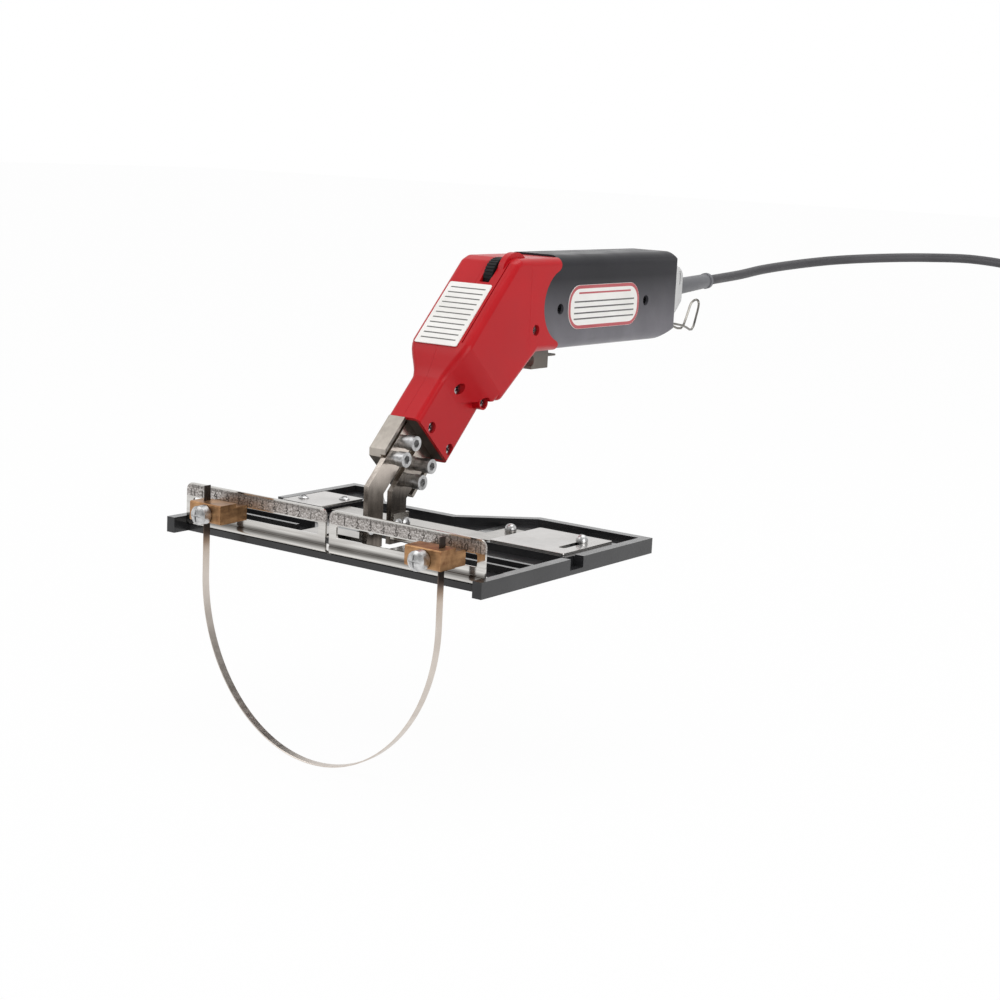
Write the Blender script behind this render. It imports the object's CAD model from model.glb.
import math

import bmesh
import bpy
from mathutils import Matrix, Vector


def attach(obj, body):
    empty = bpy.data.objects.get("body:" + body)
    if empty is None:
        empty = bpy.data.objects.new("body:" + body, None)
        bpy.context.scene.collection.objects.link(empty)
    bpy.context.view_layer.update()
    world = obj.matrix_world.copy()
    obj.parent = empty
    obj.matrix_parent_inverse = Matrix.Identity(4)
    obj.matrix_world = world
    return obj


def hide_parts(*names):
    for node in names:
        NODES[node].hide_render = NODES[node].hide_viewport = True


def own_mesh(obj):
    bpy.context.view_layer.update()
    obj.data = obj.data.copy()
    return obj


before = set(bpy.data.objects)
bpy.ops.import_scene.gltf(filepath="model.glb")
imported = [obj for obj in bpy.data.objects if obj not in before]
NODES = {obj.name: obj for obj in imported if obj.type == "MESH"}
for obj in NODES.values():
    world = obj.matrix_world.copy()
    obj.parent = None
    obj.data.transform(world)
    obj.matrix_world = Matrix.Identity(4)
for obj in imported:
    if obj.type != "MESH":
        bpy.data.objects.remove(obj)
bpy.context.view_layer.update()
MM = 0.001
scene = bpy.context.scene
scene.view_settings.view_transform = "Standard"


def link_object(name, data):
    obj = bpy.data.objects.new(name, data)
    scene.collection.objects.link(obj)
    return obj


# Camera: angles in degrees, place in metres, lens in millimetres
CAM_AZIMUTH, CAM_ELEVATION, CAM_ROLL = 35.469, 10.587, 2.7625
CAM_AT = (0.73323, -0.93192, 0.25172)
CAM_LENS, CAM_SENSOR = 68.07, 36.0
CAM_NEAR, CAM_FAR = 0.01, 60.0


def add_camera():
    az, el, roll = (math.radians(a) for a in (CAM_AZIMUTH, CAM_ELEVATION, CAM_ROLL))
    back = Vector((math.sin(az) * math.cos(el), -math.cos(az) * math.cos(el), math.sin(el)))
    right = Vector((math.cos(az), math.sin(az), 0.0))
    up = back.cross(right)
    cam_x = math.cos(roll) * right + math.sin(roll) * up
    cam_y = math.cos(roll) * up - math.sin(roll) * right
    data = bpy.data.cameras.new("camera")
    data.lens = CAM_LENS
    data.sensor_width = CAM_SENSOR
    data.sensor_fit = "HORIZONTAL"
    data.clip_start = CAM_NEAR
    data.clip_end = CAM_FAR
    camera = link_object("camera", data)
    turn = Matrix((cam_x, cam_y, back)).transposed().to_4x4()
    camera.matrix_world = Matrix.Translation(CAM_AT) @ turn
    scene.camera = camera


add_camera()

# Cord, in millimetres: a free stretch from the strain relief to the floor, then a flat coil of two layers
CORD_D = 7.4
RELIEF_TILT = math.radians(4.0)
RELIEF_FOOT, RELIEF_REACH = Vector((0.0, 299.7, 152.5)), 60.2
LEAD = Vector((0.0, math.cos(RELIEF_TILT), math.sin(RELIEF_TILT)))
CORD_START = RELIEF_FOOT + RELIEF_REACH * LEAD
COIL_X, COIL_Y, COIL_LOW, COIL_UP = 262.0, 560.0, -118.0, 8.1
COIL_OUT, COIL_IN, COIL_PITCH, COIL_TURNS = 57.15, 32.85, 8.1, 3.0
COIL_DIP, COIL_STEPS, COIL_END = 0.4, 36, 6.5
COIL_LEAD = Vector((COIL_X - COIL_OUT, COIL_Y + CORD_D, COIL_LOW))
TAIL = (14.0, 28.0, 35.4)
ROUTE_STEPS = 6
ROUTE = [CORD_START, CORD_START + CORD_D * LEAD] + [Vector(p) for p in (
    (1, 410, 160), (6, 440, 164), (17, 474, 168), (35, 508, 172), (60, 540, 175), (90, 570, 177),
    (122, 598, 177), (152, 622, 171), (178, 640, 154), (195, 650, 126), (203, 654, 92),
    (205, 655, 40), (205, 655, -20), (205, 653, -64), (205, 643, -97), (205, 622, -115))] + [
    COIL_LEAD + Vector((0, k * CORD_D, 0)) for k in (3, 1, 0)]


def smooth_path(points, steps):
    """Points on a smooth curve through all the points (Catmull-Rom)."""
    out, last = [], len(points) - 1
    for i in range(last):
        a, b = points[max(i - 1, 0)], points[i]
        c, d = points[i + 1], points[min(i + 2, last)]
        for k in range(steps):
            t = k / steps
            out.append(0.5 * (2 * b + (c - a) * t + (2 * a - 5 * b + 4 * c - d) * t * t
                              + (3 * b - a - 3 * c + d) * t * t * t))
    return out + [points[last]]


def coil_point(s):
    """Point after s turns: inwards on the floor, up by half a turn, and outwards on top."""
    half_turn = COIL_TURNS + 0.5
    angle = math.pi + 2 * math.pi * s
    swing = 2 * math.pi * (s - COIL_TURNS)
    if s <= COIL_TURNS:
        radius, height = COIL_OUT - COIL_PITCH * s, COIL_LOW
    elif s <= half_turn:
        radius = COIL_IN - COIL_DIP * COIL_PITCH * math.sin(swing)
        height = COIL_LOW + COIL_UP * (1 - math.cos(swing)) / 2
    else:
        radius, height = COIL_IN + COIL_PITCH * (s - half_turn), COIL_LOW + COIL_UP
    return Vector((COIL_X + radius * math.cos(angle), COIL_Y + radius * math.sin(angle), height))


def poly_curve(name, points, radius, sides=8):
    """Round wire through the points: a bevel of one unit, and the radius at each point."""
    data = bpy.data.curves.new(name, "CURVE")
    data.dimensions = "3D"
    data.bevel_depth = 1.0
    data.bevel_resolution = sides
    data.use_fill_caps = True
    spline = data.splines.new("POLY")
    spline.points.add(len(points) - 1)
    for p, q in zip(spline.points, points):
        p.co = (*(q * MM), 1.0)
        p.radius = radius * MM
    spline.use_smooth = True
    return link_object(name, data)


coil_run = [coil_point(k / COIL_STEPS) for k in range(int(COIL_END * COIL_STEPS) + 1)]
tail = [coil_run[-1] + Vector((0, d, 0)) for d in TAIL]
cord = poly_curve("mains_cord", smooth_path(ROUTE, ROUTE_STEPS) + coil_run + tail, CORD_D / 2)
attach(cord, "tool")
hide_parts("cord", "cord_coil")

# Materials. Noise values mostly lie between these two.
NOISE_LOW, NOISE_HIGH = 0.3, 0.7


def rgb(code):
    """Linear colour from an sRGB hex code."""
    parts = [int(code[i:i + 2], 16) / 255 for i in (1, 3, 5)]
    return tuple(c / 12.92 if c <= 0.04045 else ((c + 0.055) / 1.055) ** 2.4 for c in parts) + (1.0,)


class Look:
    """A procedural material: small helpers around one Principled shader."""

    def __init__(self, name, metal=0.0, **sockets):
        self.mat = bpy.data.materials.new("look_" + name)
        self.mat.use_nodes = True
        self.tree = self.mat.node_tree
        self.bsdf = self.tree.nodes["Principled BSDF"]
        self.bsdf.inputs["Metallic"].default_value = metal
        for key, value in sockets.items():
            self.bsdf.inputs[key.replace("_", " ")].default_value = value
        self.coord = self.tree.nodes.new("ShaderNodeTexCoord").outputs["Object"]

    def link(self, a, b):
        self.tree.links.new(a, b)

    def node(self, kind, **props):
        n = self.tree.nodes.new(kind)
        for key, value in props.items():
            setattr(n, key, value)
        return n

    def stretched(self, scale):
        n = self.node("ShaderNodeMapping")
        n.inputs["Scale"].default_value = scale
        self.link(self.coord, n.inputs["Vector"])
        return n.outputs["Vector"]

    def noise(self, scale, detail=3.0, vector=None, rough=0.55):
        n = self.node("ShaderNodeTexNoise")
        n.inputs["Scale"].default_value = scale
        n.inputs["Detail"].default_value = detail
        n.inputs["Roughness"].default_value = rough
        self.link(vector or self.coord, n.inputs["Vector"])
        return n.outputs["Fac"]

    def streaks(self, brush):
        """Noise drawn out along one axis, as brushing leaves it."""
        return self.noise(1.0, vector=self.stretched(brush))

    def ramp(self, fac, stops):
        n = self.node("ShaderNodeValToRGB")
        band = n.color_ramp
        while len(band.elements) < len(stops):
            band.elements.new(0.5)
        for e, (at, code) in zip(band.elements, stops):
            e.position = at
            e.color = rgb(code)
        self.link(fac, n.inputs["Fac"])
        return n.outputs["Color"]

    def two_tone(self, fac, dark, light, high=NOISE_HIGH):
        return self.ramp(fac, [(NOISE_LOW, dark), (high, light)])

    def spread(self, fac, low, high, start=NOISE_LOW, end=NOISE_HIGH):
        """Value from low to high as fac goes from start to end."""
        n = self.node("ShaderNodeMapRange")
        for key, value in (("From Min", start), ("From Max", end), ("To Min", low), ("To Max", high)):
            n.inputs[key].default_value = value
        self.link(fac, n.inputs["Value"])
        return n.outputs["Result"]

    def mix(self, fac, a, b):
        n = self.node("ShaderNodeMix", data_type="RGBA")
        for key, value in ((0, fac), (6, a), (7, b)):
            if hasattr(value, "is_linked"):
                self.link(value, n.inputs[key])
            else:
                n.inputs[key].default_value = value
        return n.outputs[2]

    def height(self):
        n = self.node("ShaderNodeSeparateXYZ")
        self.link(self.coord, n.inputs[0])
        return n.outputs["Z"]

    def rise(self, low, high):
        """0 below one height in millimetres, 1 above another."""
        return self.spread(self.height(), 0.0, 1.0, low * MM, high * MM)

    def fall(self, low, high):
        """1 below one height in millimetres, 0 above another."""
        return self.spread(self.height(), 1.0, 0.0, low * MM, high * MM)

    def between(self, low, high, soft):
        """1 between two heights in millimetres, 0 outside, with soft edges."""
        both = self.node("ShaderNodeMath", operation="MULTIPLY")
        self.link(self.rise(low, low + soft), both.inputs[0])
        self.link(self.fall(high - soft, high), both.inputs[1])
        return both.outputs[0]

    def base(self):
        """What the base colour is linked to so far."""
        return self.bsdf.inputs["Base Color"].links[0].from_socket

    def colour(self, socket):
        self.link(socket, self.bsdf.inputs["Base Color"])

    def rough(self, socket):
        self.link(socket, self.bsdf.inputs["Roughness"])

    def bump(self, fac, depth, strength):
        n = self.node("ShaderNodeBump")
        n.inputs["Strength"].default_value = strength
        n.inputs["Distance"].default_value = depth * MM
        self.link(fac, n.inputs["Height"])
        self.link(n.outputs["Normal"], self.bsdf.inputs["Normal"])


CLOUD_DETAIL, GRAIN_DETAIL, GRAIN_BUMP, ROUGH_PER_CLOUD = 4.0, 2.0, 0.5, 4
STAIN_DETAIL, STAIN_ROUGH, STAIN_HIGH, STREAK_SHARE = 5.0, 0.65, 0.62, 0.35
BRUSH_DEPTH, BRUSH_BUMP = 0.02, 0.35
RULER_BRUSH, ARM_BRUSH = (30.0, 500.0, 500.0), (400.0, 400.0, 25.0)
FOOT_BRUSH, BLADE_BRUSH = (300.0, 300.0, 20.0), (300.0, 40.0, 40.0)
SPECKLE, SPECKLE_STRETCH, SPECKLE_DETAIL, SPECKLE_ROUGH = 900.0, (0.7, 1.0, 1.0), 4.0, 0.7
WORN_CLOUD, ARM_SPOTS = 40.0, 35.0
BLADE_SHARE, BLADE_DEPTH, BLADE_BUMP = (0.55, 0.92), 0.006, 0.3

# Ranges of roughness. Where noise drives it, a range stays on one side of 0.27, because the denoiser
# draws outlines across that value.
SATIN, SHINY = (0.29, 0.4), (0.14, 0.26)
POLISHED_TO_DULL = (0.1, 0.42)


def moulded(name, dark, light, rough=(0.4, 0.5), grain=900.0, depth=0.05, cloud=18.0, **sockets):
    """Moulded plastic or rubber: soft clouds of tone, and grain in roughness and bump."""
    k = Look(name, **sockets)
    k.colour(k.two_tone(k.noise(cloud, CLOUD_DETAIL), dark, light))
    k.rough(k.spread(k.noise(cloud * ROUGH_PER_CLOUD), *rough))
    if depth:
        k.bump(k.noise(grain, GRAIN_DETAIL), depth, GRAIN_BUMP)
    return k


def metal(name, dark, light, rough, brush=(20.0, 400.0, 400.0), spots=60.0):
    """Brushed metal: streaks along one axis, stains and scuffs."""
    k = Look(name, metal=1.0)
    streak = k.streaks(brush)
    stain = k.noise(spots, STAIN_DETAIL, rough=STAIN_ROUGH)
    tone = k.two_tone(stain, dark, light, STAIN_HIGH)
    k.colour(k.mix(STREAK_SHARE, tone, k.two_tone(streak, dark, light)))
    k.rough(k.spread(streak, *rough))
    k.bump(streak, BRUSH_DEPTH, BRUSH_BUMP)
    return k


# Heights, in millimetres, between which a look changes
BAND_LOW, BAND_HIGH, BAND_SOFT = 23.2, 31.0, 0.6
SHADE_LOW, SHADE_HIGH, SHADE_SOFT = 6.2, 12.6, 2.2
ARM_FOOT, FRONT_ARM_CLEAN, REAR_ARM_CLEAN = 30.0, 56.0, 64.0
GRIP_LOW, GRIP_HIGH = 110.0, 166.0
HEAT_LOW, HEAT_HIGH = -21.0, 12.0
TINT_LOW, TINT_HIGH = -10.0, 6.0


def ruler_look(name):
    """Polished steel with a dull, speckled band for the scale and a dark line along its lower edge."""
    k = Look(name, metal=1.0)
    streak = k.streaks(RULER_BRUSH)
    bright = k.two_tone(streak, "#bcb9b5", "#dedcd8")
    speckle = k.noise(SPECKLE, SPECKLE_DETAIL, k.stretched(SPECKLE_STRETCH), SPECKLE_ROUGH)
    dull = k.ramp(speckle, [(0.36, "#6f6a67"), (0.5, "#aba5a1"), (0.64, "#dcd8d5")])
    band = k.between(BAND_LOW, BAND_HIGH, BAND_SOFT)
    shade = k.two_tone(streak, "#5b5855", "#7d7a76")
    lower = k.mix(k.between(SHADE_LOW, SHADE_HIGH, SHADE_SOFT), bright, shade)
    k.colour(k.mix(band, lower, dull))
    k.rough(k.spread(band, *POLISHED_TO_DULL, 0.0, 1.0))
    k.bump(streak, BRUSH_DEPTH, BRUSH_BUMP)
    return k


def arm_look(name, dark, light, clean):
    """Nickelled arm, darkened by heat at its foot and clean above a height."""
    k = metal(name, "#c0b5ab", "#e2d8ce", SHINY, ARM_BRUSH, ARM_SPOTS)
    upper = k.base()
    foot = k.two_tone(k.streaks(FOOT_BRUSH), dark, light)
    k.colour(k.mix(k.fall(ARM_FOOT, clean), upper, foot))
    return k


def grip_look(name):
    """Black plastic that is rubbed paler towards the underside."""
    k = moulded(name, "#1f1f23", "#29282d", rough=(0.29, 0.42), grain=1100.0, depth=0.08, cloud=16.0,
                Specular_IOR_Level=0.2)
    upper = k.base()
    worn = k.two_tone(k.noise(WORN_CLOUD, CLOUD_DETAIL), "#7a787e", "#8c8a90")
    k.colour(k.mix(k.fall(GRIP_LOW, GRIP_HIGH), upper, worn))
    return k


def blade_look(name):
    """Bright resistance band, burnt brown where it enters the clamps."""
    k = Look(name, metal=1.0)
    streak = k.streaks(BLADE_BRUSH)
    bright = k.two_tone(streak, "#b5aaa1", "#e2dad2")
    burnt = k.ramp(k.rise(HEAT_LOW, HEAT_HIGH), [
        (0.0, "#d8cfc6"), (0.46, "#c3b3a4"), (0.65, "#84684f"), (0.77, "#5b463a"), (0.95, "#2c2320")])
    share = k.spread(k.height(), *BLADE_SHARE, TINT_LOW * MM, TINT_HIGH * MM)
    k.colour(k.mix(share, bright, burnt))
    k.rough(k.spread(streak, *SATIN))
    k.bump(streak, BLADE_DEPTH, BLADE_BUMP)
    return k


looks = {
    "sled_plastic": moulded("sled_plastic", "#18181a", "#2a2a2c", rough=(0.29, 0.42), grain=700.0,
                            depth=0.12, cloud=30.0, Coat_Weight=0.8, Coat_Roughness=0.08, Coat_IOR=1.32,
                            Specular_IOR_Level=0.3),
    "ruler_steel": ruler_look("ruler_steel"),
    "blade_steel": blade_look("blade_steel"),
    "screw_steel": metal("screw_steel", "#949494", "#d6d6d6", SATIN, brush=(300.0, 300.0, 300.0),
                         spots=300.0),
    "bus_metal": metal("bus_metal", "#86827d", "#b7b3ad", rough=(0.1, 0.2), brush=(25.0, 400.0, 400.0),
                       spots=40.0),
    "clamp_brass": metal("clamp_brass", "#764f34", "#c2986e", rough=(0.29, 0.44),
                         brush=(60.0, 60.0, 400.0), spots=160.0),
    "nickel": metal("nickel", "#99928a", "#bfb8af", SATIN, ARM_BRUSH, ARM_SPOTS),
    "copper": metal("copper", "#8a4b26", "#d08a58", rough=(0.3, 0.45)),
    "iron": metal("iron", "#3f4146", "#77797f", rough=(0.4, 0.6), brush=(20.0, 900.0, 900.0)),
    "pin_brass": metal("pin_brass", "#a08a52", "#e0cf9c", SHINY),
    "dark_screw": metal("dark_screw", "#77777a", "#c6c6c8", SHINY, spots=300.0),
    "wire": metal("wire", "#4d4b48", "#98958f", SHINY),
    "insulator": moulded("insulator", "#2e2520", "#4a3d33", rough=(0.4, 0.6), grain=1200.0, depth=0.08),
    "red_plastic": moulded("red_plastic", "#b00c16", "#bf121d", rough=(0.29, 0.37), depth=0.0, cloud=12.0,
                           Specular_IOR_Level=0.25),
    "grip_plastic": grip_look("grip_plastic"),
    "cap_plastic": moulded("cap_plastic", "#bebebe", "#d2d2d1", rough=(0.4, 0.55), grain=1000.0,
                           depth=0.06),
    "wheel_plastic": moulded("wheel_plastic", "#08080a", "#131315", rough=(0.45, 0.6),
                             Specular_IOR_Level=0.25),
    "board": moulded("board", "#1f5a33", "#2f7a48", rough=(0.35, 0.5)),
    "relief_rubber": moulded("relief_rubber", "#5a5b5e", "#707074", rough=(0.4, 0.55), depth=0.06),
    "cord_rubber": moulded("cord_rubber", "#3a393c", "#4a494c", rough=(0.42, 0.58), grain=700.0,
                           depth=0.06, cloud=25.0),
    "lead": moulded("lead", "#5c3a22", "#7a5232", rough=(0.45, 0.6)),
    "label": moulded("label", "#e9e7e3", "#f4f2ef", rough=(0.4, 0.55), grain=600.0, depth=0.02,
                     cloud=40.0)}
guide_look = metal("guide_plate", "#adaaa7", "#cdcac7", SHINY, RULER_BRUSH, spots=30.0)
own_looks = {
    "arm_front": arm_look("arm_front", "#5a534d", "#837b73", FRONT_ARM_CLEAN),
    "arm_rear": arm_look("arm_rear", "#302b28", "#66605a", REAR_ARM_CLEAN),
    "guide_plate_left": guide_look, "guide_plate_right": guide_look,
    "grip_screws": metal("grip_screw", "#161617", "#2e2e30", SATIN, spots=300.0),
    "trigger": moulded("trigger_plastic", "#5b554f", "#70695f", rough=(0.38, 0.5), grain=1000.0,
                       depth=0.06, cloud=20.0)}
mark_look = moulded("scale_mark", "#35302c", "#4d4741", rough=(0.5, 0.7))
rule_look = moulded("label_rule", "#595856", "#767573", rough=(0.5, 0.6))
border_look = moulded("plate_border", "#b04a50", "#c76a6e")
cord.data.materials.append(looks["cord_rubber"].mat)

# Finish of the CAD nodes: smooth shading, sharp edges, and small bevels in millimetres
SHARP = math.radians(32.0)
FLAT = math.radians(0.5)
WELD = 2e-6
BEVEL_SEGMENTS = 2
BEVELS = {
    "sled": 0.5, "clamp_left": 0.45, "clamp_right": 0.45, "terminal_front": 0.5, "terminal_rear": 0.5,
    "arm_front": 0.4, "arm_rear": 0.4, "bus_front": 0.3, "bus_rear": 0.3, "guide_plate_left": 0.25,
    "guide_plate_right": 0.25, "clamp_nut_left": 0.3, "clamp_nut_right": 0.3, "rear_cap": 0.6,
    "trigger": 0.6, "ruler_left": 0.25, "ruler_right": 0.25, "coil_tie": 0.2, "plug": 0.8,
    "terminal_screws": 0.3, "grip_left": 0.4, "grip_right": 0.4, "strain_relief": 0.3, "plug_pins": 0.4,
    "rating_plate": 0.15}


def soften_group(name):
    """Geometry nodes: joins split corners, then shades smooth with sharp edges kept."""
    g = bpy.data.node_groups.new(name, "GeometryNodeTree")
    for way in ("INPUT", "OUTPUT"):
        g.interface.new_socket("Geometry", in_out=way, socket_type="NodeSocketGeometry")
    n = g.nodes
    source, sink = n.new("NodeGroupInput"), n.new("NodeGroupOutput")
    last = source.outputs[0]
    for attribute in ("custom_normal", "sharp_edge", "sharp_face"):
        drop = n.new("GeometryNodeRemoveAttribute")
        drop.inputs["Name"].default_value = attribute
        g.links.new(last, drop.inputs["Geometry"])
        last = drop.outputs["Geometry"]
    weld = n.new("GeometryNodeMergeByDistance")
    weld.inputs["Distance"].default_value = WELD
    g.links.new(last, weld.inputs["Geometry"])
    faces = n.new("GeometryNodeSetShadeSmooth")
    faces.domain = "FACE"
    g.links.new(weld.outputs["Geometry"], faces.inputs["Geometry"])
    bend = n.new("GeometryNodeInputMeshEdgeAngle")
    over = n.new("FunctionNodeCompare")
    over.operation = "GREATER_THAN"
    over.inputs[1].default_value = SHARP
    g.links.new(bend.outputs["Unsigned Angle"], over.inputs[0])
    edges = n.new("GeometryNodeSetShadeSmooth")
    edges.domain = "EDGE"
    edges.inputs["Shade Smooth"].default_value = False
    g.links.new(faces.outputs["Geometry"], edges.inputs["Geometry"])
    g.links.new(over.outputs["Result"], edges.inputs["Selection"])
    g.links.new(edges.outputs["Geometry"], sink.inputs[0])
    return g


soften = soften_group("soften")


def finish_node(name, obj):
    slot_name = obj.data.materials[0].name.split(".")[0]
    slot = obj.material_slots[0]
    slot.link = "OBJECT"
    slot.material = own_looks.get(name, looks[slot_name]).mat
    obj.modifiers.new("clean", "NODES").node_group = soften
    flat = obj.modifiers.new("flat", "DECIMATE")
    flat.decimate_type = "DISSOLVE"
    flat.angle_limit = FLAT
    if name in BEVELS:
        bevel = obj.modifiers.new("edges", "BEVEL")
        bevel.width = BEVELS[name] * MM
        bevel.segments = BEVEL_SEGMENTS
        bevel.limit_method = "ANGLE"
        bevel.angle_limit = SHARP
        obj.modifiers.new("shade", "NODES").node_group = soften
    obj.modifiers.new("weight", "WEIGHTED_NORMAL").keep_sharp = True


for name, obj in NODES.items():
    finish_node(name, obj)


# Helpers for the scene's own pieces, in millimetres
def dress(obj, look, body, slot_name, *replaced):
    obj.data.materials.append(look.mat)
    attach(obj, body)
    if replaced:
        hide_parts(*replaced)
    return obj


def mesh_piece(name, bm, look, body, slot_name, *replaced):
    data = bpy.data.meshes.new(name)
    bmesh.ops.recalc_face_normals(bm, faces=bm.faces)
    bm.to_mesh(data)
    bm.free()
    return dress(link_object(name, data), look, body, slot_name, *replaced)


def add_box(bm, low, high, place=None):
    """One closed box, put in place by an optional matrix."""
    (x0, y0, z0), (x1, y1, z1) = low, high
    corners = [Vector((x, y, z)) for x in (x0, x1) for y in (y0, y1) for z in (z0, z1)]
    verts = [bm.verts.new((place @ c if place else c) * MM) for c in corners]
    for f in ((0, 1, 3, 2), (4, 6, 7, 5), (0, 4, 5, 1), (2, 3, 7, 6), (0, 2, 6, 4), (1, 5, 7, 3)):
        bm.faces.new([verts[i] for i in f])


def add_sweep(bm, path, profile):
    """Closed tube: each profile point is an offset (across, along Y) at every point of an XZ path."""
    rings, last = [], len(path) - 1
    for i, p in enumerate(path):
        t = (path[min(i + 1, last)] - path[max(i - 1, 0)]).normalized()
        side = Vector((-t.z, 0.0, t.x))
        rings.append([bm.verts.new((p + side * a + Vector((0, b, 0))) * MM) for a, b in profile])
    n = len(profile)
    for r, q in zip(rings, rings[1:]):
        for k in range(n):
            bm.faces.new((r[k], r[(k + 1) % n], q[(k + 1) % n], q[k]))
    bm.faces.new(rings[0])
    bm.faces.new(rings[-1])


def rounded(x0, x1, y0, y1, r, steps=8):
    """Outline of a rectangle with round corners."""
    pts = []
    for q, (cx, cy) in enumerate(((x1 - r, y1 - r), (x0 + r, y1 - r), (x0 + r, y0 + r), (x1 - r, y0 + r))):
        for k in range(steps + 1):
            a = math.pi / 2 * (q + k / steps)
            pts.append((cx + r * math.cos(a), cy + r * math.sin(a)))
    return pts


# Blade band: two straight legs from the clamps and half an ellipse below
BAND_W, BAND_T, BAND_EDGE = 5.5, 0.8, 0.22
LEG_L, LEG_R, BLADE_Y = -86.0, 99.0, -96.0
LEG_HEIGHTS = (25.0, 13.0, 4.0, -8.0)
LEFT_END, RIGHT_END = 36.0, 33.0
BOW_Z, BOW_DEEP, BOW_STEPS = -20.0, 102.5, 120


def blade_path():
    mid, half = (LEG_L + LEG_R) / 2, (LEG_R - LEG_L) / 2
    path = [Vector((LEG_L, BLADE_Y, z)) for z in (LEFT_END, *LEG_HEIGHTS)]
    for k in range(BOW_STEPS + 1):
        a = math.pi * (1 + k / BOW_STEPS)
        path.append(Vector((mid + half * math.cos(a), BLADE_Y, BOW_Z + BOW_DEEP * math.sin(a))))
    return path + [Vector((LEG_R, BLADE_Y, z)) for z in (*reversed(LEG_HEIGHTS), RIGHT_END)]


def add_blade():
    w, t, e = BAND_W / 2, BAND_T / 2, BAND_EDGE
    profile = [(-t, -w + e), (-t + e, -w), (t - e, -w), (t, -w + e),
               (t, w - e), (t - e, w), (-t + e, w), (-t, w - e)]
    bm = bmesh.new()
    add_sweep(bm, blade_path(), profile)
    band = mesh_piece("blade_band", bm, looks["blade_steel"], "loop", "blade_steel", "blade")
    for poly in band.data.polygons:
        poly.use_smooth = True
    band.modifiers.new("shade", "NODES").node_group = soften
    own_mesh(band)


add_blade()

# Trigger spring, pressed together between trigger and switch
SPRING_R, SPRING_WIRE, SPRING_TURNS, SPRING_STEPS, SPRING_SIDES = 2.65, 0.7, 5, 24, 2
SPRING_Y, SPRING_LOW, SPRING_HIGH, SWITCH_Z = 134.0, 124.9, 133.45, 134.0


def add_spring():
    helix, count = [], SPRING_TURNS * SPRING_STEPS
    for k in range(count + 1):
        a = 2 * math.pi * k / SPRING_STEPS
        z = SPRING_LOW + (SPRING_HIGH - SPRING_LOW) * k / count
        helix.append(Vector((SPRING_R * math.cos(a), SPRING_Y + SPRING_R * math.sin(a), z)))
    line = poly_curve("spring_line", helix, SPRING_WIRE / 2, SPRING_SIDES)
    bpy.context.view_layer.update()
    mesh = bpy.data.meshes.new_from_object(line.evaluated_get(bpy.context.evaluated_depsgraph_get()))
    bpy.data.objects.remove(line)
    mesh.materials.clear()
    spring = link_object("trigger_spring_wire", mesh)
    dress(spring, looks["wire"], "tool", "wire", "trigger_spring")
    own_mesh(spring)


add_spring()

# Scale on the rulers: millimetre ticks and centimetre numbers, counted outwards from the middle
FACE_Y, RULER_IN, RULER_TOP = -81.0, 1.4, 32.0
SCALE_START, TICK_FIRST, TICK_END = 2.0, 3, 112
TICK_DROP, TICK_TALL, TICK_WIDE = 0.9, (3.2, 2.6, 1.9), (0.5, 0.36)
MARK_T, MARK_SINK = 0.05, 0.1
DIGIT_SIZE, DIGIT_Z = 6.2, 23.6


def add_scale(side, name):
    def place(k):
        return side * (RULER_IN + SCALE_START + k)

    bm = bmesh.new()
    top = RULER_TOP - TICK_DROP
    for k in range(TICK_FIRST, TICK_END):
        tall = TICK_TALL[0 if k % 10 == 0 else 1 if k % 5 == 0 else 2]
        wide = TICK_WIDE[0 if k % 5 == 0 else 1]
        add_box(bm, (place(k) - wide / 2, FACE_Y - MARK_T, top - tall),
                (place(k) + wide / 2, FACE_Y + MARK_SINK, top))
    mesh_piece("ruler_scale_" + name, bm, mark_look, "tool", "ruler_steel")
    for k in range(10, TICK_END, 10):
        text = bpy.data.curves.new(f"digit_{name}_{k}", "FONT")
        text.body = str(k // 10)
        text.size = DIGIT_SIZE * MM
        text.align_x = "CENTER"
        text.extrude = MARK_T * MM
        digit = link_object(f"ruler_digit_{name}_{k // 10}", text)
        digit.rotation_euler = (math.pi / 2, 0, 0)
        digit.location = (place(k) * MM, FACE_Y * MM, DIGIT_Z * MM)
        dress(digit, mark_look, "tool", "ruler_steel")


add_scale(-1, "left")
add_scale(1, "right")

# Front label, in the nose's own tilted frame: x across, u into the face, v up the face
NOSE_AT, NOSE_TILT = (0, 4.2, 66.5), math.radians(-44.0)
nose = Matrix.Translation(NOSE_AT) @ Matrix.Rotation(NOSE_TILT, 4, "X")
LABEL = (-18.9, 15.0, 54.0, 106.0)
LABEL_BACK, LABEL_U, LABEL_R, LABEL_STEPS = -29.5, -30.1, 1.2, 4
ROWS, ROW_STEP, ROW_H, ROW_EDGE, ROW_TOP = 11, 4.3, 0.9, 3.0, 4.0
PRINT_UP, PRINT_SINK = 0.04, 0.1


def add_label():
    x0, x1, _, v1 = LABEL
    bm = bmesh.new()
    rim = rounded(*LABEL, LABEL_R, LABEL_STEPS)
    under, over = ([bm.verts.new(nose @ Vector((x, u, v)) * MM) for x, v in rim]
                   for u in (LABEL_BACK, LABEL_U))
    bm.faces.new(under)
    bm.faces.new(over)
    for k in range(len(rim)):
        bm.faces.new((under[k - 1], under[k], over[k], over[k - 1]))
    plate = mesh_piece("label_plate", bm, looks["label"], "tool", "label", "front_label")
    plate.modifiers.new("shade", "NODES").node_group = soften
    bm = bmesh.new()
    for row in range(ROWS):
        v = v1 - ROW_TOP - ROW_STEP * row
        add_box(bm, (x0 + ROW_EDGE, LABEL_U - PRINT_UP, v - ROW_H),
                (x1 - ROW_EDGE, LABEL_U + PRINT_SINK, v), nose)
    mesh_piece("label_rules", bm, rule_look, "tool", "label")


add_label()

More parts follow.
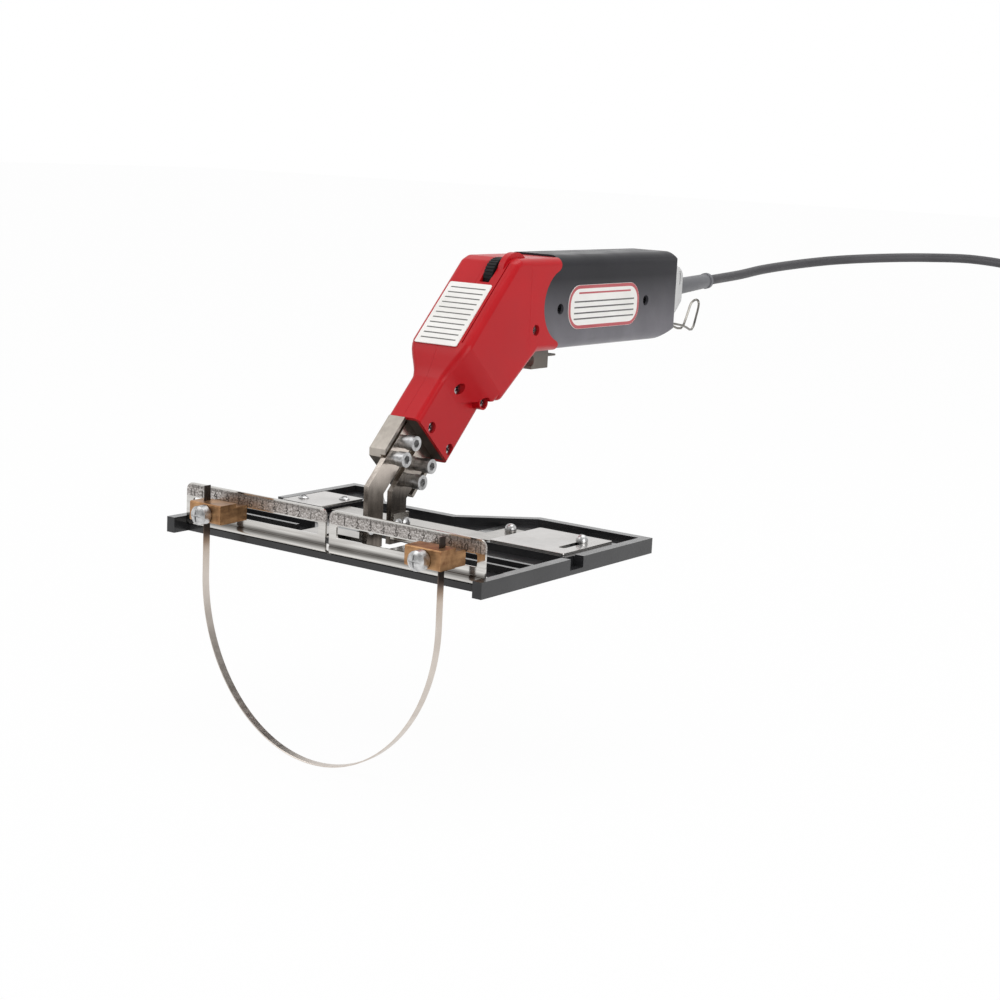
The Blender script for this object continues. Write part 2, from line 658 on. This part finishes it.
# Rating plate on the grip's right side: a plain border, one red rule and four grey ones
PLATE_X, PLATE = 22.3, (135.0, 225.0, 131.5, 161.5)
PLATE_R, BORDER = 13.0, (0.2, 2.5)
RED_EDGE, RED_Z, RED_H = 12.0, 155.4, 1.2
GREY_EDGE, GREY_Z, GREY_H, GREY_STEP, GREY_ROWS = 7.0, 149.6, 1.0, 3.9, 4


def add_ring(bm, outer, inner, x0, x1):
    """Flat ring standing on a side face, between two outlines in the side view."""
    n = len(outer)
    a, b, c, d = ([bm.verts.new(Vector((x, *p)) * MM) for p in line]
                  for x in (x0, x1) for line in (outer, inner))
    for k in range(n):
        m = (k + 1) % n
        for r, s in ((a, b), (c, d), (a, c), (b, d)):
            bm.faces.new((r[k], r[m], s[m], s[k]))


def add_rating_plate():
    y0, y1, z0, z1 = PLATE
    low, high = PLATE_X - PRINT_SINK, PLATE_X + PRINT_UP
    bm = bmesh.new()
    outer, inner = (rounded(y0 + d, y1 - d, z0 + d, z1 - d, PLATE_R - d) for d in BORDER)
    add_ring(bm, outer, inner, low, high)
    add_box(bm, (low, y0 + RED_EDGE, RED_Z), (high, y1 - RED_EDGE, RED_Z + RED_H))
    mesh_piece("plate_border", bm, border_look, "tool", "label")
    bm = bmesh.new()
    for row in range(GREY_ROWS):
        z = GREY_Z - GREY_STEP * row
        add_box(bm, (low, y0 + GREY_EDGE, z), (high, y1 - GREY_EDGE, z + GREY_H))
    mesh_piece("plate_rules", bm, rule_look, "tool", "label")


add_rating_plate()

# Floor, sky and lamps, in metres and watts
FLOOR_Z, FLOOR_R, FLOOR_GREY, FLOOR_GLOW = -0.1232, 14.0, 0.86, 0.97
SKY_TURN = (-0.75, 0.85)
SOFT_FROM, SOFT_TONES, SOFT_POWER = (-0.62, -0.35, 0.70), (0.22, 1.0), 0.75
SHINE_FROM, SHINE_TONES, SHINE_POWER = (-0.55, 0.55, 0.45), (0.3, 1.0), 1.0
LAMPS = (("key_light", (-0.9, -1.1, 1.7), (0.0, 0.05, 0.05), 1.1, 7.0),
         ("top_light", (0.2, 0.5, 1.9), (0.0, 0.1, 0.1), 1.4, 13.0),
         ("fill_light", (1.7, -0.4, 0.5), (0.0, 0.1, 0.1), 1.2, 12.0))


def clear_tree(owner):
    owner.use_nodes = True
    owner.node_tree.nodes.clear()
    return owner.node_tree


def math_node(tree, operation, a, b):
    n = tree.nodes.new("ShaderNodeMath")
    n.operation = operation
    tree.links.new(a, n.inputs[0])
    if hasattr(b, "is_linked"):
        tree.links.new(b, n.inputs[1])
    else:
        n.inputs[1].default_value = b
    return n.outputs[0]


def mix_shaders(tree, fac, a, b):
    n = tree.nodes.new("ShaderNodeMixShader")
    for k, socket in enumerate((fac, a, b)):
        tree.links.new(socket, n.inputs[k])
    return n.outputs[0]


def add_floor():
    """Pale floor, near white to the camera and in reflections, that still takes a faint shadow."""
    mat = bpy.data.materials.new("stage_floor")
    tree = clear_tree(mat)
    plain = tree.nodes.new("ShaderNodeBsdfDiffuse")
    plain.inputs["Color"].default_value = (FLOOR_GREY, FLOOR_GREY, FLOOR_GREY, 1)
    white = tree.nodes.new("ShaderNodeEmission")
    white.inputs["Color"].default_value = (1, 1, 1, 1)
    rays = tree.nodes.new("ShaderNodeLightPath").outputs
    seen = math_node(tree, "MAXIMUM", rays["Is Camera Ray"], rays["Is Glossy Ray"])
    share = math_node(tree, "MULTIPLY", seen, FLOOR_GLOW)
    out = tree.nodes.new("ShaderNodeOutputMaterial")
    tree.links.new(mix_shaders(tree, share, plain.outputs[0], white.outputs[0]), out.inputs[0])
    bm = bmesh.new()
    bm.faces.new([bm.verts.new((x * FLOOR_R, y * FLOOR_R, FLOOR_Z))
                  for x, y in ((-1, -1), (1, -1), (1, 1), (-1, 1))])
    data = bpy.data.meshes.new("floor")
    bm.to_mesh(data)
    bm.free()
    data.materials.append(mat)
    floor = link_object("floor", data)


def sky(tree, towards, tones, strength):
    """Soft grey sky that brightens towards one side of the studio."""
    coord = tree.nodes.new("ShaderNodeTexCoord")
    dot = tree.nodes.new("ShaderNodeVectorMath")
    dot.operation = "DOT_PRODUCT"
    dot.inputs[1].default_value = Vector(towards).normalized()
    lift = tree.nodes.new("ShaderNodeMapRange")
    for key, value in zip(("From Min", "From Max", "To Min", "To Max"), (*SKY_TURN, *tones)):
        lift.inputs[key].default_value = value
    light = tree.nodes.new("ShaderNodeBackground")
    light.inputs["Strength"].default_value = strength
    tree.links.new(coord.outputs["Generated"], dot.inputs[0])
    tree.links.new(dot.outputs["Value"], lift.inputs["Value"])
    tree.links.new(lift.outputs["Result"], light.inputs["Color"])
    return light.outputs[0]


def add_sky():
    """One sky for diffuse light, one for reflections, and white behind the object."""
    world = bpy.data.worlds.new("studio")
    scene.world = world
    tree = clear_tree(world)
    rays = tree.nodes.new("ShaderNodeLightPath").outputs
    white = tree.nodes.new("ShaderNodeBackground")
    white.inputs["Color"].default_value = (1, 1, 1, 1)
    soft = sky(tree, SOFT_FROM, SOFT_TONES, SOFT_POWER)
    shine = sky(tree, SHINE_FROM, SHINE_TONES, SHINE_POWER)
    light = mix_shaders(tree, rays["Is Glossy Ray"], soft, shine)
    seen = math_node(tree, "MAXIMUM", rays["Is Camera Ray"], rays["Is Transmission Ray"])
    out = tree.nodes.new("ShaderNodeOutputWorld")
    tree.links.new(mix_shaders(tree, seen, light, white.outputs[0]), out.inputs[0])


def area_light(name, at, aim, size, power):
    data = bpy.data.lights.new(name, "AREA")
    data.shape = "SQUARE"
    data.size = size
    data.energy = power
    lamp = link_object(name, data)
    lamp.location = at
    lamp.rotation_euler = (Vector(aim) - Vector(at)).to_track_quat("-Z", "Y").to_euler()


add_floor()
add_sky()
for lamp in LAMPS:
    area_light(*lamp)
